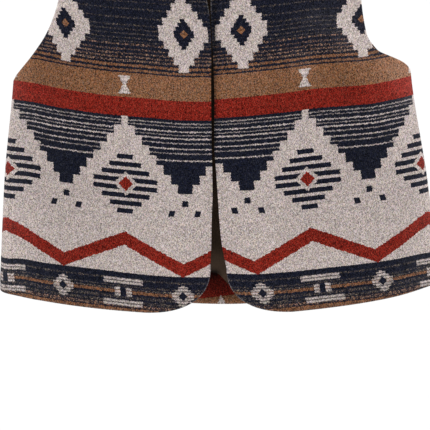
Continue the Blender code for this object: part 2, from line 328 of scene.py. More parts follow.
# How far the woven rows hang below their height at the side seam, by turn from the centre line in degrees
HANG = table(
    "turn right_chest right_hem left_chest left_hem back_chest back_hem",
    (0, 0.0166, 0.0105, 0.0202, 0.0112, 0.0100, 0.0310),
    (10, 0.0159, 0.0104, 0.0168, 0.0132, 0.0097, 0.0300),
    (20, 0.0129, 0.0079, 0.0132, 0.0110, 0.0088, 0.0274),
    (30, 0.0106, 0.0045, 0.0091, 0.0078, 0.0074, 0.0230),
    (40, 0.0072, 0.0021, 0.0076, 0.0055, 0.0059, 0.0182),
    (50, 0.0037, 0.0006, 0.0063, 0.0034, 0.0041, 0.0127),
    (60, 0.0002, -0.0009, 0.0034, 0.0011, 0.0025, 0.0078),
    (75, -0.0012, 0.0018, 0.0005, 0.0008, 0.0011, 0.0035),
    (84, -0.0008, 0.0020, 0.0003, 0.0006, 0.0005, 0.0015),
    (90, 0.0, 0.0, 0.0, 0.0, 0.0, 0.0),
)
CHEST_LEVEL = -0.235
HEM_LEVEL = -0.420

# Distance on the cloth for a distance round the form, eased near the side seams, where cloth lies flatter
EASES = table(
    "distance right left back",
    (0.0, 0.0, 0.0, 0.0),
    (0.012, 0.0138, 0.0120, 0.0120),
    (0.030, 0.0325, 0.0300, 0.0300),
    (0.091, 0.0954, 0.0912, 0.0910),
    (0.160, 0.1620, 0.1563, 0.1600),
    (0.185, 0.1855, 0.1783, 0.1820),
    (0.208, 0.2025, 0.1963, 0.1968),
    (0.232, 0.2165, 0.2134, 0.2119),
    (0.246, 0.2225, 0.2213, 0.2227),
    (0.270, 0.2345, 0.2345, 0.2460),
    (0.300, 0.2600, 0.2600, 0.2760),
)


def smooth(share):
    """Eased step from 0 to 1."""
    share = np.clip(share, 0.0, 1.0)
    return share * share * (3 - 2 * share)


def mix(a, b, share):
    return a + (b - a) * share


def ramp(value, start, end):
    """Eased step from 0 at the start to 1 at the end."""
    return smooth((value - start) / (end - start))


def bell(offset):
    """1 in the middle, fading out on both sides."""
    return np.exp(-(offset**2))


def curve(knots, column, level):
    """A column of a table on a smooth curve through its rows, at an array of levels of its first column."""
    rows = sorted(knots)
    levels = np.array([row[0] for row in rows], float)
    values = np.array([getattr(row, column) for row in rows], float)
    last = len(rows) - 1
    low, high = np.clip([np.arange(-1, last), np.arange(1, last + 2)], 0, last)
    slopes = (values[high] - values[low]) / (levels[high] - levels[low])
    level = np.clip(level, levels[0], levels[-1])
    i = np.clip(np.searchsorted(levels, level, side="right") - 1, 0, last - 1)
    span = levels[i + 1] - levels[i]
    s = (level - levels[i]) / span
    bend = span * s * (1 - s) * (slopes[i] * (1 - s) - slopes[i + 1] * s)
    return mix(values[i], values[i + 1], smooth(s)) + bend


def half_width(turn, level):
    return np.where(np.asarray(turn) > 0, curve(FORM, "left", level), curve(FORM, "right", level))


SHOULDER_SLOPE = (NECK_POINT_Z - SHOULDER_POINT_Z) / (
    math.hypot(SHOULDER_POINT_X, NECK_ROUND) - math.hypot(NECK_POINT_X, NECK_ROUND)
)


def shoulder_line(x):
    """Height of the shoulder seam above a point across the body."""
    return NECK_POINT_Z + SHOULDER_SLOPE * (math.hypot(NECK_POINT_X, NECK_ROUND) - np.hypot(x, NECK_ROUND))


def fall_of(drop, panel):
    """Fall below the shoulder line, and share of the full depth, at a cloth distance from the seam."""
    cap = CAP[panel]
    angle = np.minimum(drop / cap, math.pi / 2)
    return cap * (1 - np.cos(angle)) + np.maximum(drop - cap * math.pi / 2, 0.0), np.sin(angle)


def drop_of(fall, panel):
    """Cloth distance from the shoulder seam of a point that far below the shoulder line."""
    cap = CAP[panel]
    share = np.clip(fall / cap, 0.0, 1.0)
    return cap * np.arccos(1 - share) + np.maximum(fall - cap, 0.0)


def plain_point(turn, drop, panel):
    """The worn form without folds."""
    fall, share = fall_of(drop, panel)
    x = SHOULDER_POINT_X * np.sin(turn)
    for _ in range(FORM_ROUNDS):
        z = shoulder_line(x) - fall
        x = half_width(turn, z) * np.sin(turn)
    z = shoulder_line(x) - fall
    y = FACING_SIGN[panel] * curve(FORM, panel, z) * np.cos(turn) * share
    return np.stack([x, y, z], axis=-1)


def fold_rise(turn, level, panel):
    """How far the folds stand out."""
    degrees = np.degrees(turn)
    total = np.zeros_like(degrees)
    for fold in FOLDS[panel]:
        down = (fold.top - level) / (fold.top - fold.foot)
        centre = fold.turn + fold.lean * (1 - down)
        total += fold.rise * smooth(down) * bell((degrees - centre) / fold.width)
    return total


def crease_rise(turn, level, panel):
    """Soft troughs and ridges, fading out at both ends."""
    total = np.zeros_like(turn)
    for crease in CREASES.get(panel, ()):
        start = np.array([math.radians(crease.turn) * CREASE_RADIUS, crease.level])
        end = np.array([math.radians(crease.end_turn) * CREASE_RADIUS, crease.end_level])
        run = end - start
        across, up = turn * CREASE_RADIUS - start[0], level - start[1]
        share = (across * run[0] + up * run[1]) / (run @ run)
        off = (across * run[1] - up * run[0]) / math.hypot(*run)
        bow = crease.width * CREASE_BOW * np.sin(math.pi * np.clip(share, 0.0, 1.0))
        ends = ramp(share, 0.0, CREASE_ENDS) * ramp(1 - share, 0.0, CREASE_ENDS)
        total += crease.rise * ends * bell((off - bow) / crease.width)
    return total


def painted_light_and_shade(turn, level, panel):
    """Painted light and shade: about 1, a painted highlight on ridges, painted shade in troughs, and the
    listed patches.
    """
    total = 1 + PAINTED_LIGHT_PER_RISE * crease_rise(turn, level, panel)
    for painted_light in PAINTED_PATCHES[panel]:
        across = bell((np.degrees(turn) - painted_light.turn) / painted_light.wide)
        total += painted_light.gain * across * bell((level - painted_light.level) / painted_light.tall)
    return np.maximum(total, LEAST_PAINTED_LIGHT)


def ripple_rise(turn, level, ripples):
    return sum(wave.height * np.sin(wave.around * turn + wave.up * level + wave.phase) for wave in ripples)


def outward(turn, drop, panel, point):
    """Unit normals of a surface function, away from the wearer."""
    side = point(turn + STEP, drop, panel) - point(turn - STEP, drop, panel)
    down = point(turn, drop + STEP, panel) - point(turn, drop - STEP, panel)
    normal = np.cross(side, down) * FACING_SIGN[panel]
    return normal / np.linalg.norm(normal, axis=-1, keepdims=True)


def cloth_point(turn, drop, panel):
    """The worn form with its folds, creases and unevenness, which fade out at the side seams."""
    base = plain_point(turn, drop, panel)
    level = base[..., 2]
    fade = 1 - np.abs(turn / (math.pi / 2)) ** SIDE_FADE
    rise = fold_rise(turn, level, panel) + crease_rise(turn, level, panel)
    rise += ripple_rise(turn, level, RIPPLES)
    return base + outward(turn, drop, panel, plain_point) * (rise * fade)[..., None]


def cut_place(x, z, panel):
    """(turn, drop) of points of the cut, given across the body and up it, half a gap clear of the seams."""
    limit = math.pi / 2 - SEAM_GAP / 2 / curve(FORM, panel, z)
    least = SEAM_GAP / 2 * CAP[panel] / curve(FORM, panel, 0.0) * SHOULDER_EASE
    turn = np.clip(np.arcsin(np.clip(x / half_width(x, z), -1.0, 1.0)), -limit, limit)
    drop = np.maximum(drop_of(shoulder_line(x) - z, panel), least)
    return np.stack([turn, drop], axis=-1)


def turns_and_drops(grid):
    return grid[..., 0], grid[..., 1]


def side_seam(side, share, panel):
    """From the hem up to the underarm."""
    z = mix(side.hem, side.underarm, share)
    return cut_place(side.sign * half_width(side.sign, z), z, panel)


def armhole_points(side, panel):
    """The armhole's curve, x and z from the underarm through the scoop to the shoulder point."""
    if panel == "front":
        z = mix(side.underarm, SHOULDER_POINT_Z, np.linspace(0.0, 1.0, 4 * ARMHOLE_STEPS + 1) ** 2)
        return curve(FRONT_ARMHOLES[side.name], "x", z), z
    arm = BACK_ARMHOLES[side.name]
    low_x = float(half_width(side.sign, side.underarm))
    angle = np.linspace(0.0, math.pi / 2, ARMHOLE_STEPS + 1)
    rise = np.linspace(0.0, 1.0, ARMHOLE_STEPS + 1)[1:]
    scoop_x = mix(low_x, arm.x, np.sin(angle) ** (2 / arm.across))
    scoop_z = mix(arm.top, side.underarm, np.abs(np.cos(angle)) ** (2 / arm.up))
    x = np.concatenate([scoop_x, mix(arm.x, SHOULDER_POINT_X, rise * rise)])
    z = np.concatenate([scoop_z, mix(arm.top, SHOULDER_POINT_Z, rise)])
    return x, z


def armhole(side, share, panel):
    """Shares of the armhole's length, from the underarm up to the shoulder point."""
    x, z = armhole_points(side, panel)
    lengths = np.concatenate([[0.0], np.cumsum(np.hypot(np.diff(x), np.diff(z)))])
    x, z = (np.interp(share * lengths[-1], lengths, values) for values in (x, z))
    return cut_place(side.sign * x, z, panel)


def shoulder_seam(side, share, panel):
    """From the neck point out to the shoulder point."""
    x = side.sign * mix(NECK_POINT_X, SHOULDER_POINT_X, share)
    return cut_place(x, shoulder_line(x), panel)


def hem_z(turn, side, panel):
    centre, power = (side.front_hem, side.hem_curve) if panel == "front" else (BACK_HEM_Z, BACK_HEM_CURVE)
    return mix(side.hem, centre, np.cos(turn) ** power)


def hem(turn, side, panel):
    x = half_width(turn, side.hem) * np.sin(turn)
    return cut_place(x, hem_z(turn, side, panel), panel)


def front_corner(side, share):
    """The rounded corner from the front edge, share 0, to the hem, share 1."""
    top_z = side.front_hem + CORNER_HEIGHT
    foot_x = curve(EDGES, side.name, top_z) + CORNER_WIDTH
    foot_z = hem_z(np.arcsin(foot_x / half_width(side.sign, side.hem)), side, "front")
    angle = share * math.pi / 2
    x = foot_x - CORNER_WIDTH * np.abs(np.cos(angle)) ** (2 / CORNER_CURVE)
    z = top_z + (foot_z - top_z) * np.sin(angle) ** (2 / CORNER_CURVE)
    return cut_place(side.sign * x, z, "front")


def front_edge(side, stage, share):
    """The front panel's inner boundary: half the corner, the straight edge, then the neckline."""
    if stage == "corner":
        return front_corner(side, 0.5 - 0.5 * share)
    if stage == "top":
        z = mix(side.v_foot, NECK_POINT_Z, share)
        x = mix(curve(EDGES, side.name, z), NECK_POINT_X, share**V_CURVE)
        return cut_place(side.sign * x, z, "front")
    corner_z = side.front_hem + CORNER_HEIGHT
    low, high = (corner_z, side.underarm) if stage == "side" else (side.underarm, side.v_foot)
    z = mix(low, high, share)
    return cut_place(side.sign * curve(EDGES, side.name, z), z, "front")


def stage_shares(stages):
    """For each stage its name, the shares of the stage and the shares of the whole at its grid lines."""
    start = 0.0
    for k, stage in enumerate(stages):
        share = np.linspace(0.0, 1.0, stage.count + 1)[0 if k == 0 else 1 :]
        yield stage.name, share, mix(start, stage.end, share)
        start = stage.end


def all_shares(stages):
    return np.concatenate([whole for _, _, whole in stage_shares(stages)])


def end_of(stages, name):
    return next(stage.end for stage in stages if stage.name == name)


def trace(stages, place):
    """A boundary of a panel, stage by stage."""
    return np.concatenate([place(name, share, whole) for name, share, whole in stage_shares(stages)])


def outer_edge(side, rows, panel):
    """A panel's side boundary: the side seam, then the armhole."""
    underarm, scoop = end_of(rows, "side"), SCOOP_SHARE[panel]

    def place(stage, share, height):
        if stage in ("corner", "side"):
            return side_seam(side, height / underarm, panel)
        return armhole(side, scoop * share if stage == "scoop" else mix(scoop, 1.0, share), panel)

    return trace(rows, place)


def fill_patch(p, q, inner, outer, foot, top):
    """Grid of (turn, drop) between four boundaries: a Coons patch."""
    p, q = p[None, :, None], q[:, None, None]
    sides = mix(inner[:, None], outer[:, None], p) + mix(foot[None], top[None], q)
    return sides - mix(mix(foot[0], foot[-1], p), mix(top[0], top[-1], p), q)


def relax(grid):
    """Evens out a grid: each point inside it moves to the middle of its four neighbours, many times over."""
    for _ in range(RELAX_ROUNDS):
        near = grid[1:-1, :-2] + grid[1:-1, 2:] + grid[:-2, 1:-1] + grid[2:, 1:-1]
        grid[1:-1, 1:-1] = near / 4
    return grid


def front_grid(side):
    inner = trace(FRONT_ROWS, lambda stage, share, q: front_edge(side, stage, share))
    outer = outer_edge(side, FRONT_ROWS, "front")
    corner_turn = front_corner(side, np.array(1.0))[0]
    limit = outer[0][0]

    def foot_place(stage, share, p):
        if stage == "corner":
            return front_corner(side, 0.5 + 0.5 * share)
        return hem(mix(corner_turn, limit, share), side, "front")

    foot = trace(FRONT_COLUMNS, foot_place)
    p, q = all_shares(FRONT_COLUMNS), all_shares(FRONT_ROWS)
    return fill_patch(p, q, inner, outer, foot, shoulder_seam(side, p, "front"))


def back_top(stage, share, p):
    """The back's upper boundary: right shoulder, neckline, left shoulder."""
    if stage == "right":
        return shoulder_seam(SIDES["right"], 1 - share, "back")
    if stage == "left":
        return shoulder_seam(SIDES["left"], share, "back")
    across = 2 * share - 1
    x = NECK_POINT_X * mix(across, np.sin(across * math.pi / 2), NECK_SPACING)
    z = mix(BACK_NECK_Z, NECK_POINT_Z, np.abs(x / NECK_POINT_X) ** BACK_NECK_CURVE)
    return cut_place(x, z, "back")


def back_grid():
    right, left = (outer_edge(side, BACK_ROWS, "back") for side in SIDES.values())
    p, q = all_shares(BACK_COLUMNS), all_shares(BACK_ROWS)
    turn = mix(right[0][0], left[0][0], p)
    right_hem, left_hem = (hem(turn, side, "back") for side in SIDES.values())
    foot = np.where((turn > 0)[:, None], left_hem, right_hem)
    return relax(fill_patch(p, q, right, left, foot, trace(BACK_COLUMNS, back_top)))


def sewn_edges(grid, inner=False, outer=False, top=False):
    """Which places on the four boundaries of a piece are sewn. The foot never is."""
    rows, columns = grid.shape[:2]
    return {
        "inner": np.broadcast_to(inner, rows),
        "outer": np.broadcast_to(outer, rows),
        "foot": np.broadcast_to(False, columns),
        "top": np.broadcast_to(top, columns),
    }


def edge_distances(points):
    """Cloth distance of each grid point from each boundary."""
    across = np.linalg.norm(np.diff(points, axis=1), axis=2)
    along = np.linalg.norm(np.diff(points, axis=0), axis=2)
    from_inner = np.pad(np.cumsum(across, axis=1), ((0, 0), (1, 0)))
    from_foot = np.pad(np.cumsum(along, axis=0), ((1, 0), (0, 0)))
    return {
        "inner": from_inner,
        "outer": from_inner[:, -1:] - from_inner,
        "foot": from_foot,
        "top": from_foot[-1:] - from_foot,
    }


def edge_dip(points, seams):
    """How far the face of a cloth sinks near its edges and seams."""
    total = np.zeros(points.shape[:2])
    for name, distance in edge_distances(points).items():
        sewn = seams[name][:, None] if name in ("inner", "outer") else seams[name][None, :]
        reach = np.where(sewn, SEAM_REACH, EDGE_REACH)
        depth = np.where(sewn, SEAM_DIP, EDGE_DIP)
        total = np.maximum(total, depth * np.clip(1 - distance / reach, 0.0, 1.0) ** 2)
    return total


def round_edge(foot, outer, top, inner):
    """What is at the four boundaries of a piece, one after another round its edge."""
    return np.concatenate([foot[:-1], outer[:-1], top[:0:-1], inner[:0:-1]])


def edge_of(grid):
    return round_edge(foot=grid[0], outer=grid[:, -1], top=grid[-1], inner=grid[:, 0])


def rim_rows(outside, inside, sewn):
    """Rows of points that round off the edge between the two faces of a cloth."""
    outer, inner = edge_of(outside), edge_of(inside)
    middle, half = (outer + inner) / 2, (outer - inner) / 2
    along = np.roll(middle, -1, axis=0) - np.roll(middle, 1, axis=0)
    away = np.cross(along, half)
    away /= np.linalg.norm(away, axis=1, keepdims=True) + TINY
    beside = edge_of(np.pad(outside[1:-1, 1:-1], ((1, 1), (1, 1), (0, 0)), mode="edge"))
    away *= -np.sign((away * (beside - outer)).sum(axis=1, keepdims=True))
    bulge = np.where(sewn, SEAM_BULGE, RIM_BULGE)[:, None]
    angles = math.pi * np.arange(1, RIM_STEPS) / RIM_STEPS
    return [middle + half * math.cos(angle) + away * bulge * math.sin(angle) for angle in angles]


def grid_quads(index):
    corners = [index[:-1, :-1], index[:-1, 1:], index[1:, 1:], index[1:, :-1]]
    return np.stack(corners, axis=-1).reshape(-1, 4)


def strip_quads(first, second):
    """Faces between two closed loops of points."""
    first_next, second_next = np.roll(first, -1), np.roll(second, -1)
    return np.stack([first_next, first, second, second_next], axis=-1)


def turned_in(outside, inside):
    """Whether the faces of the outside grid look inwards."""
    j, i = outside.shape[0] // 2, outside.shape[1] // 2
    normal = np.cross(outside[j, i + 1] - outside[j, i], outside[j + 1, i] - outside[j, i])
    return np.dot(normal, outside[j, i] - inside[j, i]) < 0


def with_rims(values, edge, rims):
    """Values of a grid's points, given to both faces of a cloth and to its rims."""
    return np.concatenate([values, values] + [values[edge]] * len(rims))


def make_shell(name, outside, inside, cloth, painted_light, seams, material):
    """A closed thin cloth from the grids of its two faces, with rounded edges."""
    rows, columns = outside.shape[:2]
    count = rows * columns
    index = np.arange(count).reshape(rows, columns)
    edge, sewn = edge_of(index), round_edge(**seams)
    rims = rim_rows(outside, inside, sewn)
    between_faces = [2 * count + k * len(edge) + np.arange(len(edge)) for k in range(len(rims))]
    loops = [edge, *between_faces, edge + count]
    quads = [grid_quads(index), grid_quads(index)[:, ::-1] + count]
    quads += [strip_quads(a, b) for a, b in zip(loops, loops[1:])]
    faces = np.concatenate(quads)
    if turned_in(outside, inside):
        faces = faces[:, ::-1]
    points = np.concatenate([outside.reshape(-1, 3), inside.reshape(-1, 3), *rims])
    flat = with_rims(cloth.reshape(-1, 2), edge, rims)
    rim = np.concatenate([np.zeros(2 * count)] + [rim_share(row, sewn) for row in rims])
    shades = {"painted_light": with_rims(painted_light.ravel(), edge, rims), "rim": rim}
    return make_piece(name, points, faces, flat, shades, material)


def rim_share(points, sewn):
    """How much of the pale rim a row of edge points shows."""
    level = points[:, 2]
    above = np.where(points[:, 0] < 0, RIM_ABOVE_RIGHT, RIM_ABOVE_LEFT)
    share = smooth((level - above) / RIM_FADE) + smooth((RIM_BELOW - level) / RIM_FADE)
    return np.where(sewn, 0.0, share)


def make_piece(name, points, faces, cloth, shades, material):
    """A smooth mesh object with its cloth coordinates in the map "cloth" and shades at its points."""
    mesh = bpy.data.meshes.new(name)
    mesh.from_pydata(points.tolist(), [], faces.tolist())
    layer = mesh.uv_layers.new(name="cloth")
    corners = np.empty(len(mesh.loops), np.int32)
    mesh.loops.foreach_get("vertex_index", corners)
    layer.data.foreach_set("uv", cloth[corners].astype(np.float32).ravel())
    for shade, values in shades.items():
        mesh.attributes.new(shade, "FLOAT", "POINT").data.foreach_set("value", values.astype(np.float32))
    mesh.shade_smooth()
    mesh.materials.append(material)
    return add_object(name, mesh)


def arc_length(turn, drop, panel):
    """Distance round the form from the centre line, by Gauss's rule."""
    knots, weights = np.polynomial.legendre.leggauss(GAUSS_KNOTS)
    level = plain_point(turn, drop, panel)[..., 2]
    _, share = fall_of(drop, panel)
    width = half_width(turn, level)[..., None]
    depth = (curve(FORM, panel, level) * share)[..., None]
    angle = turn[..., None] * (1 + knots) / 2
    speed = np.sqrt((width * np.cos(angle)) ** 2 + (depth * np.sin(angle)) ** 2)
    return (speed * weights).sum(axis=-1) * turn / 2


def woven_height(turn, drop, panel, red_top, name):
    """Height on the cloth above the red band's top edge, where the woven rows are level."""
    point = plain_point(turn, drop, panel)
    x, level = point[..., 0], point[..., 2]
    height = shoulder_line(x) + CAP[panel] * (math.pi / 2 - 1) - drop
    degrees = np.abs(np.degrees(turn))
    down = np.clip((CHEST_LEVEL - level) / (CHEST_LEVEL - HEM_LEVEL), 0.0, 1.0)
    hang = mix(curve(HANG, f"{name}_chest", degrees), curve(HANG, f"{name}_hem", degrees), down)
    return height + hang - red_top


def eased(distance, column):
    """Cloth distance from the front edge or the back's centre line, for a distance round the form."""
    return curve(EASES, column, np.abs(distance)) * np.sign(distance)


def front_cloth(turn, drop, side):
    """Cloth coordinates of a front: distance from its edge, and height above the red band's top."""
    edge = curve(EDGES, side.name, plain_point(turn, drop, "front")[..., 2])
    across = eased(arc_length(turn, drop, "front") * side.sign - edge, side.name)
    return np.stack([across, woven_height(turn, drop, "front", side.red_top, side.name)], axis=-1)


def back_cloth(turn, drop):
    """Cloth coordinates of the back: distance from its centre line, and height above the red band's top."""
    red_top = mix(SIDES["right"].red_top, SIDES["left"].red_top, (np.sin(turn) + 1) / 2)
    across = eased(arc_length(turn, drop, "back"), "back") + BACK_PHASE
    return np.stack([across, woven_height(turn, drop, "back", red_top, "back")], axis=-1)


# Woven pattern, in millimetres: distance below the red band's top edge, and across from the front edge
MILLIMETRES = 1000
BANDS = table(
    "top foot yarn",
    (-400, -25.5, "navy"),
    (-25.5, 0, "tan"),
    (0, 20.5, "red"),
    (20.5, 190.4, "cream"),
    (190.4, 300, "navy"),
)
# Thin woven lines by yarn: level of the middle, thickness, and share of the stitches that take the yarn
LINES = tables(
    "level thick fill",
    tan=[
        (-28.3, 2.4, 0.82), (-33.4, 2.6, 0.92), (210.8, 3.0, 0.88), (231.0, 6.0, 0.92),
    ],
    sand=[
        (-38.2, 2.2, 0.46), (-42.0, 1.9, 0.36), (-45.8, 1.8, 0.34), (-50.0, 1.8, 0.23),
        (-55.3, 1.9, 0.33), (225.3, 3.2, 0.33),
    ],
    stone=[
        (-58.2, 1.3, 0.10), (-62.0, 1.4, 0.13), (-66.4, 1.4, 0.12), (-71.0, 1.5, 0.13),
        (-75.4, 1.5, 0.14), (-83.3, 1.5, 0.12), (-92.6, 1.6, 0.10), (-100.0, 1.3, 0.08),
        (-104.5, 1.5, 0.12), (-114.0, 1.5, 0.09), (-128.0, 1.5, 0.10), (-141.0, 1.3, 0.08),
        (-158.0, 1.4, 0.09), (-180.0, 1.4, 0.08), (-204.0, 1.4, 0.08), (-232.0, 1.4, 0.08),
        (197.3, 1.7, 0.13), (204.8, 1.7, 0.12), (207.8, 1.6, 0.22), (216.4, 3.2, 0.12),
        (221.2, 2.8, 0.14),
    ],
    cream=[
        (24.5, 1.3, 0.50), (28.0, 1.1, 0.40), (33.3, 1.4, 0.82), (37.1, 1.1, 0.45), (41.0, 1.5, 0.92),
        (46.0, 1.2, 0.52), (51.9, 1.4, 0.80), (57.0, 1.1, 0.46), (64.6, 1.4, 0.82),
    ],
)
# Least and most of the yarn in a line's even stitches, its dotted ones and its worn places
EVEN = (0.6, 1.4)
DOTTED = (0.1, 3.7)
WORN = (0.4, 1.6)
# How far the lines wander off their level, and how far the edges of motifs are ragged across and down
WANDER = 2.6
RAGGED_ACROSS = 1.4
RAGGED_DOWN = 0.56
# Small dots over the zigzag, by distance from the axis
DOTS = table("inner outer top foot", (11.0, 17.5, 119.0, 125.5), (-1.0, 3.4, 108.0, 114.5))
# Repeat of the motifs, place of their axis, and place of the back's centre line in metres
REPEAT = 131.0
AXIS = 30.0
BACK_PHASE = 0.030
# Size of a stitch and of a tuft of the nap
THREAD_ACROSS = 0.85
THREAD_UP = 1.05
TUFT_ACROSS = 0.60
TUFT_UP = 0.95

# Colours of the yarns, and of the stray fibres spun into each
Yarn = namedtuple("Yarn", "colour fleck")
YARNS = {
    "cream": Yarn((0.440, 0.376, 0.352), (0.400, 0.338, 0.322)),
    "red": Yarn((0.154, 0.0084, 0.0046), (0.220, 0.0330, 0.0210)),
    "tan": Yarn((0.180, 0.073, 0.030), (0.170, 0.113, 0.083)),
    "sand": Yarn((0.270, 0.152, 0.098), (0.190, 0.140, 0.110)),
    "stone": Yarn((0.270, 0.205, 0.150), (0.190, 0.150, 0.125)),
    "navy": Yarn((0.0042, 0.0055, 0.0138), (0.0215, 0.0218, 0.0298)),
}
FLECKS = 0.75
# Brushed wool: grain on black and on white yarn, least and most of its fibre, dye and roughness
GRAIN = (1.87, 0.17)
FIBRE = (0.70, 1.30)
DYE = (0.94, 1.06)
WOOL_ROUGHNESS = (0.86, 0.98)
TUFT_RELIEF = 0.7
# Hue of single stitches, least and spread
TINT_LEAST = (0.93, 0.93, 0.88)
TINT_SPREAD = (0.14, 0.14, 0.24)

# The pale turned edge of the cloth, and how much of it shows
RIM_COLOUR = (0.18, 0.17, 0.175)
RIM_SHOWS = 0.45

# Painted sheen: a pale colour blended in where the painted light is strongest, less so on the red yarn
PAINTED_SHEEN_COLOUR = (0.50, 0.44, 0.42)
PAINTED_SHEEN = 0.12
PAINTED_SHEEN_ON_RED = 0.03

# Satin: its two browns, how much of them follows its streaks, and how long those are
SATIN_DEEP = (0.026, 0.016, 0.010)
SATIN_LIGHT = (0.046, 0.029, 0.019)
SATIN_ROUGHNESS = (0.50, 0.66)
STREAK_SHOWS = 0.6
STREAK_ACROSS = 0.9
STREAK_DOWN = 0.06

# Sockets of the mix node that are for colours
MIX_FACTOR = 0
MIX_FIRST = 6
MIX_SECOND = 7
MIX_RESULT = 2


def feed(tree, slot, value):
    """Links a field to a slot, or sets the slot to a number, a vector or a colour."""
    if isinstance(value, Field):
        tree.links.new(value.socket, slot)
    elif slot.type == "RGBA":
        slot.default_value = (*value, 1.0)
    else:
        slot.default_value = value


def add(tree, kind, output, inputs, **settings):
    """The field that a new node puts out."""
    node = tree.nodes.new(kind)
    for name, value in settings.items():
        setattr(node, name, value)
    for name, value in inputs.items():
        feed(tree, node.inputs[name], value)
    return Field(tree, node.outputs[output])


class Field:
    """What varies over the cloth: a number, a vector or a colour. Arithmetic on numbers adds nodes.

    A mask is a number that is 0 or 1.
    """

    def __init__(self, tree, socket):
        self.tree = tree
        self.socket = socket

    def maths(self, operation, *others):
        return add(self.tree, "ShaderNodeMath", 0, dict(enumerate((self, *others))), operation=operation)

    __add__ = __radd__ = partialmethod(maths, "ADD")
    __sub__ = partialmethod(maths, "SUBTRACT")
    __mul__ = __rmul__ = __and__ = partialmethod(maths, "MULTIPLY")
    __truediv__ = partialmethod(maths, "DIVIDE")
    __lt__ = partialmethod(maths, "LESS_THAN")
    __gt__ = partialmethod(maths, "GREATER_THAN")
    __or__ = partialmethod(maths, "MAXIMUM")
    __abs__ = partialmethod(maths, "ABSOLUTE")
    floor = partialmethod(maths, "FLOOR")
    fraction = partialmethod(maths, "FRACT")


def between(field, low, high):
    return (field > low) & (field < high)


def join(tree, x, y):
    """A vector from two numbers."""
    return add(tree, "ShaderNodeCombineXYZ", "Vector", {"X": x, "Y": y})


def white_noise(tree, output, x, y):
    return add(tree, "ShaderNodeTexWhiteNoise", output, {"Vector": join(tree, x, y)}, noise_dimensions="2D")


def chance(tree, x, y, seed):
    """A random number from 0 to 1 for each pair of whole numbers."""
    return white_noise(tree, "Value", x + seed, y - seed)


def noise(tree, vector, scale, detail):
    inputs = {"Vector": vector, "Scale": scale, "Detail": detail}
    return add(tree, "ShaderNodeTexNoise", "Fac", inputs, noise_dimensions="2D")


def stored(tree, name):
    """A shade kept at the points of the mesh."""
    return add(tree, "ShaderNodeAttribute", "Fac", {}, attribute_name=name)


def blend(tree, factor, first, second):
    """A colour between two colours, each a field or three numbers."""
    inputs = {MIX_FACTOR: factor, MIX_FIRST: first, MIX_SECOND: second}
    return add(tree, "ShaderNodeMix", MIX_RESULT, inputs, data_type="RGBA")


def vector_maths(tree, operation, inputs):
    return add(tree, "ShaderNodeVectorMath", "Vector", inputs, operation=operation)


def tinted(tree, colour, weave):
    """A colour whose hue differs a little from stitch to stitch."""
    random = white_noise(tree, "Color", weave.column, weave.row)
    around_one = vector_maths(tree, "MULTIPLY_ADD", {0: random, 1: TINT_SPREAD, 2: TINT_LEAST})
    return vector_maths(tree, "MULTIPLY", {0: colour, 1: around_one})


def scaled(tree, colour, shade):
    """A colour times a number."""
    return vector_maths(tree, "SCALE", {0: colour, "Scale": shade})


def luminance(tree, colour):
    return add(tree, "ShaderNodeRGBToBW", "Val", {"Color": colour})


def relief(tree, height, strength, distance):
    inputs = {"Strength": strength, "Distance": distance, "Height": height}
    return add(tree, "ShaderNodeBump", "Normal", inputs)


def new_material(name):
    material = bpy.data.materials.new(name)
    material.use_nodes = True
    return material, material.node_tree


def dress(tree, inputs, shader="Principled BSDF"):
    """Feeds the sockets of the shader that a material or the world starts with."""
    for name, value in inputs.items():
        feed(tree, tree.nodes[shader].inputs[name], value)


def cells(across, down, wide, tall):
    """Column and row of the cells of a brick pattern."""
    row = (down / tall).floor()
    return (across / wide + row * 0.5).floor(), row


class Weave:
    """Places on a woven cloth: across and down in millimetres, with the ragged edges of whole stitches."""

    def __init__(self, tree):
        self.tree = tree
        self.vector = add(tree, "ShaderNodeUVMap", "UV", {}, uv_map="cloth")
        across = add(tree, "ShaderNodeSeparateXYZ", "X", {"Vector": self.vector}) * MILLIMETRES
        down = add(tree, "ShaderNodeSeparateXYZ", "Y", {"Vector": self.vector}) * -MILLIMETRES
        self.column, self.row = cells(across, down, THREAD_ACROSS, THREAD_UP)
        zero = self.row * 0.0
        self.tuft = chance(tree, *cells(across, down, TUFT_ACROSS, TUFT_UP), seed=29.0)
        self.luck = chance(tree, self.column, self.row, seed=3.0)
        self.across = across + (chance(tree, zero, self.row, seed=11.0) - 0.5) * RAGGED_ACROSS
        self.down = down + (chance(tree, self.column, zero, seed=7.0) - 0.5) * RAGGED_DOWN
        self.wander = self.down + (noise(tree, self.vector, scale=420.0, detail=2.0) - 0.5) * WANDER
        self.even = mix(*EVEN, self.luck)
        self.dotted = mix(*DOTTED, self.luck * self.luck * self.luck)

    def band(self, top, foot):
        return between(self.down, top, foot)

    def off(self, level):
        return abs(self.down - level)

    def lines(self, yarn, stitches):
        """Strength of a yarn's thin woven lines, whose stitches are even or dotted."""
        strength = self.down * 0.0
        for line in LINES[yarn]:
            strength = strength | ((abs(self.wander - line.level) < line.thick / 2) * line.fill)
        return strength * stitches * mix(*WORN, noise(self.tree, self.vector, scale=150.0, detail=1.0))

    def from_axis(self, axis, repeat):
        """Distance from the nearest axis of a repeat."""
        return abs(((self.across - axis) / repeat + 0.5).fraction() - 0.5) * repeat

    def stepped(self, axis, level, half_height, half_width, step):
        """Mask of a lozenge with stepped sides."""
        off = self.off(level)
        rung = (off / step).floor() * (step * half_width / half_height)
        return (axis + rung < half_width) & (off < half_height)


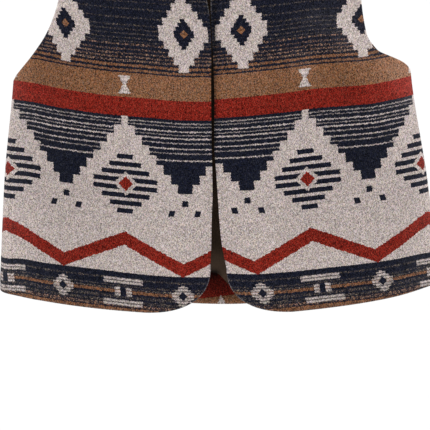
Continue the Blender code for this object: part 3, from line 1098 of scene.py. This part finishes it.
def jacquard(weave):
    """(mask, yarn) layers of the woven pattern, later ones on top, each made when it is asked for."""
    for band in BANDS:
        yield weave.band(band.top, band.foot), band.yarn
    for yarn, stitches in (("stone", weave.dotted), ("sand", weave.dotted), ("tan", weave.even)):
        yield weave.lines(yarn, stitches), yarn
    axis, gap = weave.from_axis(AXIS, REPEAT), weave.from_axis(AXIS - REPEAT / 2, REPEAT)
    yield from upper_lozenges(weave, axis)
    yield from hourglasses(weave, gap)
    yield from hanging_pyramids(weave, axis)
    yield from barred_lozenges(weave, gap)
    yield from zigzag(weave, axis)
    yield from hem_blocks(weave, axis, gap)


def upper_lozenges(weave, axis):
    level, eye = -70.0, 4.5
    yield weave.stepped(axis, level, half_height=40.0, half_width=27.5, step=8.0), "cream"
    yield weave.stepped(axis, level, half_height=16.0, half_width=11.0, step=4.0), "navy"
    yield axis + weave.off(level) < eye, "tan"


def hourglasses(weave, gap):
    level, half_height, waist, slope = -13.0, 9.5, 1.6, 0.55
    off = weave.off(level)
    yield (gap < off * slope + waist) & (off < half_height), "cream"


def hanging_pyramids(weave, axis):
    top, foot, half_width, step, inset = 20.5, 100.5, 62.0, 10.0, 7.7
    rung = ((weave.down - top) / step).floor() * inset
    body = (axis + rung < half_width) & weave.band(top, foot)
    yield body, "navy"
    yield weave.lines("cream", weave.even) & body, "cream"


def barred_lozenges(weave, gap):
    level, step, ring, eye = 94.0, 8.4, 13.0, 8.0
    bar_from, bar_to = 0.19, 0.81
    off = weave.off(level)
    bars = between((off / step).fraction(), bar_from, bar_to)
    yield weave.stepped(gap, level, half_height=33.6, half_width=34.8, step=step) & bars, "navy"
    yield gap + off < ring, "cream"
    yield gap + off < eye, "red"


def zigzag(weave, axis):
    """Small dots, and a red zigzag below them."""
    foot, rise, half_thick = 183.6, 30.4, 7.3
    for dot in DOTS:
        yield between(axis, dot.inner, dot.outer) & weave.band(dot.top, dot.foot), "navy"
    middle = axis * (-rise / (REPEAT / 2)) + foot
    yield abs(weave.wander - middle) < half_thick, "red"


def hem_blocks(weave, axis, gap):
    """Blocks woven from separate threads: diamonds on the axis, waisted bars between them."""
    level, thread, thread_gap = 211.0, 3.3, 0.19
    eye, bar_half, waist_half, spine_half = 5.0, 21.0, 9.0, 3.2
    by_thread, by_stitch, weak_stitches = (0.25, 1.0), (0.60, 0.95), 0.3
    off = weave.off(level)
    inside = off < thread * 1.5
    diamond = weave.stepped(axis, level, half_height=thread * 3.5, half_width=12.0, step=thread)
    bars = (gap < bar_half) & between(off, thread * 2.5, thread * 4.5)
    waist = (gap < waist_half) & inside
    threads = abs(((weave.down - level) / thread).fraction() - 0.5) > thread_gap
    shows = mix(*by_thread, threads) * mix(*by_stitch, weave.luck > weak_stitches)
    yield (diamond | bars | waist) * shows, "cream"
    yield (axis + off < eye) | ((gap < spine_half) & inside), "navy"


def turned_hem(weave):
    """Layers of the hem turned up inside the back, where down is measured from its fold."""
    lowest, tan_top, tan_slope = -50.0, 3.0, 0.14
    peak_axis, peak_top, peak_slope = 40.0, 10.0, 2.2
    up = weave.down * -1.0
    yield up > lowest, "red"
    yield up < weave.across * tan_slope + tan_top, "tan"
    yield weave.from_axis(peak_axis, REPEAT / 2) * peak_slope + up < peak_top, "cream"


def wool_material(name, pattern):
    """Brushed wool woven from a few yarns, with flecks, uneven dye, painted light and shade, a painted sheen
    and the relief of its stitches.
    """
    material, tree = new_material(name)
    weave = Weave(tree)
    stray = chance(tree, weave.column, weave.row, seed=53.0)
    fibre = noise(tree, weave.vector, scale=1500.0, detail=1.0)
    dye = noise(tree, weave.vector, scale=14.0, detail=3.0)
    colour, fleck = YARNS["cream"]
    red = weave.down * 0.0
    for mask, yarn in pattern(weave):
        colour = blend(tree, mask, colour, YARNS[yarn].colour)
        fleck = blend(tree, mask, fleck, YARNS[yarn].fleck)
        red = red | mask if yarn == "red" else red - red * mask
    colour = blend(tree, stray * stray * FLECKS, colour, fleck)
    colour = blend(tree, stored(tree, "rim") * RIM_SHOWS, colour, RIM_COLOUR)
    # Painted light and shade kept at the mesh's points, and a pale painted sheen where it is lightest
    painted_light = stored(tree, "painted_light")
    painted_sheen = ((painted_light - 1.0) | 0.0) * mix(PAINTED_SHEEN, PAINTED_SHEEN_ON_RED, red)
    colour = blend(tree, painted_sheen, tinted(tree, colour, weave), PAINTED_SHEEN_COLOUR)
    grain = (weave.tuft - 0.5) * mix(*GRAIN, luminance(tree, colour)) + 1.0
    inputs = {
        "Base Color": scaled(tree, colour, grain * mix(*FIBRE, fibre) * mix(*DYE, dye) * painted_light),
        "Roughness": mix(*WOOL_ROUGHNESS, fibre),
        "Normal": relief(tree, fibre + weave.tuft * TUFT_RELIEF, strength=0.45, distance=0.0005),
        "Specular IOR Level": 0.04,
        "Sheen Weight": 0.02,
        "Sheen Roughness": 0.55,
    }
    dress(tree, inputs)
    return material


def satin_material(name):
    """Smooth dark brown lining with a fine weave and a soft gloss."""
    material, tree = new_material(name)
    weave = Weave(tree)
    along = join(tree, weave.across * STREAK_ACROSS, weave.down * STREAK_DOWN)
    streak = noise(tree, along, scale=1.0, detail=2.0)
    cloud = noise(tree, weave.vector, scale=22.0, detail=2.0)
    colour = blend(tree, mix(cloud, streak, STREAK_SHOWS), SATIN_DEEP, SATIN_LIGHT)
    inputs = {
        # The base colour carries the painted light and shade kept at the mesh's points
        "Base Color": scaled(tree, colour, stored(tree, "painted_light")),
        "Roughness": mix(*SATIN_ROUGHNESS, streak),
        "Normal": relief(tree, streak, strength=0.25, distance=0.0003),
        "Specular IOR Level": 0.06,
        "Anisotropic": 0.4,
    }
    dress(tree, inputs)
    return material


def make_panel(name, grid, panel, cloth, seams, material):
    """A front or the back, whose face rolls in at its edges and seams."""
    turn, drop = turns_and_drops(grid)
    points = cloth_point(turn, drop, panel)
    normal = outward(turn, drop, panel, cloth_point)
    outside = points - normal * edge_dip(points, seams)[..., None]
    # Painted light and shade of the panel, kept at the mesh's points
    painted_light = painted_light_and_shade(turn, points[..., 2], panel)
    return make_shell(name, outside, points - normal * WOOL_WALL, cloth, painted_light, seams, material)


def make_front(side, material):
    grid = front_grid(side)
    cloth = front_cloth(*turns_and_drops(grid), side)
    seam = all_shares(FRONT_ROWS) <= end_of(FRONT_ROWS, "side")
    seams = sewn_edges(grid, outer=seam, top=True)
    return make_panel(f"cloth_front_{side.name}", grid, "front", cloth, seams, material)


def make_back(grid, material):
    cloth = back_cloth(*turns_and_drops(grid))
    p, q = all_shares(BACK_COLUMNS), all_shares(BACK_ROWS)
    seam = q <= end_of(BACK_ROWS, "side")
    shoulders = (p <= end_of(BACK_COLUMNS, "right")) | (p >= end_of(BACK_COLUMNS, "neck"))
    seams = sewn_edges(grid, inner=seam, outer=seam, top=shoulders)
    return make_panel("cloth_back", grid, "back", cloth, seams, material)


def inner_part(grid, low, high):
    """The part of the back's grid between two heights, inside the side seams."""
    p, q = all_shares(BACK_COLUMNS), all_shares(BACK_ROWS)
    rows = (q > low - TINY) & (q < high + TINY)
    columns = (p > INNER_MARGIN) & (p < 1 - INNER_MARGIN)
    return grid[rows][:, columns]


def inside_back(grid, depth):
    """Points that far inside the back's outer face, and its normals there."""
    turn, drop = turns_and_drops(grid)
    normal = outward(turn, drop, "back", cloth_point)
    return cloth_point(turn, drop, "back") - normal * depth[..., None], normal


def make_facing(grid, material):
    """The hem of the back, turned up inside it."""
    part = inner_part(grid, 0.0, FACING_TOP)
    outside, normal = inside_back(part, np.full(part.shape[:2], WOOL_WALL + LAYER_GAP))
    free = sewn_edges(part)
    inside = outside - normal * (WOOL_WALL - edge_dip(outside, free)[..., None])
    up = outside[..., 2] - outside[:1, :, 2]
    cloth = np.stack([back_cloth(*turns_and_drops(part))[..., 0], up], axis=-1)
    # Painted shade: the turned hem darkens from its fold into the hollow above it, with a painted shadow under
    # the lining's edge
    shade = mix(FACING_DEEP, FACING_LIGHT, np.exp(-up / FACING_FADE))
    painted_light = shade * painted_light_and_shade(part[..., 0], outside[..., 2], "facing")
    return make_shell("cloth_back_hem", outside, inside, cloth, painted_light, free, material)


def make_lining(grid, material):
    """The satin lining of the back, hanging over the turned-up hem in soft waves."""
    part = inner_part(grid, LINING_FOOT, LINING_TOP)
    turn = part[..., 0]
    up = np.linspace(0.0, 1.0, len(part))[:, None]
    fade = {name: ramp(up, *ends) for name, ends in LINING_FADES.items()}
    phase = LINING_WAVES * (turn - LINING_PEAK)
    harmonic = np.cos(LINING_HARMONIC * phase) / LINING_HARMONIC**2
    lift = LINING_LIFT + LINING_SWING * (np.cos(phase) - harmonic)
    part[..., 1] -= lift * fade["wave"]
    loose = LINING_SLACK + ripple_rise(turn, up, LINING_RIPPLES)
    loose = loose * mix(SLACK_AT_TOP, 1.0, fade["slack"]) + BAG_RISE * bell((up - BAG_HEIGHT) / BAG_SPREAD)
    depth = (WOOL_WALL + LAYER_GAP) * (1 + fade["over_hem"]) + loose * fade["foot"] * fade["top"]
    outside, normal = inside_back(part, depth)
    inside = outside - normal * LINING_WALL
    cloth = back_cloth(*turns_and_drops(part))
    # Painted light and shade of the lining, kept at the mesh's points
    painted_light = painted_light_and_shade(turn, outside[..., 2], "lining")
    free = sewn_edges(part)
    return make_shell("cloth_back_lining", outside, inside, cloth, painted_light, free, material)


# The cloth pieces: node, material slot, flat cut and its area in square metres, and what each hangs from
Cut = namedtuple("Cut", "node slot width length area hangs_from")
CUTS = {
    "cloth_front_right": Cut("front_right", "wool_front", 0.270, 0.490, 0.1066, "cloth_back"),
    "cloth_front_left": Cut("front_left", "wool_front", 0.270, 0.490, 0.1065, "cloth_back"),
    "cloth_back": Cut("back", "wool_back", 0.560, 0.530, 0.2266, "back"),
    "cloth_back_hem": Cut("back_hem", "wool_hem", 0.540, 0.075, 0.0343, "cloth_back"),
    "cloth_back_lining": Cut("back_lining", "lining", 0.520, 0.480, 0.1950, "cloth_back"),
}


def make_cloth():
    wool = wool_material("wool_jacquard", jacquard)
    grid = back_grid()
    pieces = [make_front(side, wool) for side in SIDES.values()]
    pieces.append(make_back(grid, wool))
    pieces.append(make_facing(grid, wool_material("wool_turned_hem", turned_hem)))
    pieces.append(make_lining(grid, satin_material("satin_lining")))
    for piece in pieces:
        cut = CUTS[piece.name]
        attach(piece, "root")
        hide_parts(cut.node)


# Camera and studio
CAMERA_TARGET = (0.0022, 0.0, -0.3725)
CAMERA_DISTANCE = 2.8
CAMERA_ELEVATION = 6.0
CAMERA_REACH = 300.0
FRAME_WIDTH = 0.473
SENSOR = 36.0
FLOOR_Z = -1.38
FLOOR_SIZE = 160.0
FLOOR_COLOUR = (0.715, 0.715, 0.715)
# Soft suns: tilt from overhead and turn in degrees, strength and spread
SUNS = table(
    "name tilt turn strength spread",
    ("key", 48, -24, 0.45, 40),
    ("right_rim", 62, 122, 1.30, 30),
    ("left_rim", 66, -122, 1.10, 30),
)


def add_object(name, data):
    thing = bpy.data.objects.new(name, data)
    bpy.context.scene.collection.objects.link(thing)
    return thing


def make_camera():
    data = bpy.data.cameras.new("camera")
    data.sensor_width = SENSOR
    data.lens = SENSOR * CAMERA_DISTANCE / FRAME_WIDTH
    data.clip_end = CAMERA_REACH
    camera = add_object("camera", data)
    lift = math.radians(CAMERA_ELEVATION)
    x, y, z = CAMERA_TARGET
    camera.location = (x, y - CAMERA_DISTANCE * math.cos(lift), z + CAMERA_DISTANCE * math.sin(lift))
    camera.rotation_euler = (math.pi / 2 - lift, 0.0, 0.0)
    bpy.context.scene.camera = camera


def make_floor():
    mesh = bpy.data.meshes.new("floor")
    half = FLOOR_SIZE / 2
    corners = [(x * half, y * half, FLOOR_Z) for x, y in ((-1, -1), (1, -1), (1, 1), (-1, 1))]
    mesh.from_pydata(corners, [], [(0, 1, 2, 3)])
    material, tree = new_material("pale_floor")
    dress(tree, {"Base Color": FLOOR_COLOUR, "Roughness": 0.9, "Specular IOR Level": 0.1})
    mesh.materials.append(material)
    floor = add_object("floor", mesh)


def make_light():
    world = bpy.data.worlds.new("white_studio")
    world.use_nodes = True
    dress(world.node_tree, {"Color": (1.0, 1.0, 1.0), "Strength": 1.0}, shader="Background")
    bpy.context.scene.world = world
    for sun in SUNS:
        data = bpy.data.lights.new(sun.name, "SUN")
        data.energy = sun.strength
        data.angle = math.radians(sun.spread)
        light = add_object(sun.name, data)
        light.rotation_euler = (math.radians(sun.tilt), 0.0, math.radians(sun.turn))
    bpy.context.scene.view_settings.view_transform = "Standard"


def keep_grain():
    """The wool's grain is as fine as a pixel, so the denoiser takes it from the unfiltered colours."""
    bpy.context.scene.cycles.denoising_prefilter = "NONE"


def main():
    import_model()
    make_camera()
    make_cloth()
    make_floor()
    make_light()
    keep_grain()


main()
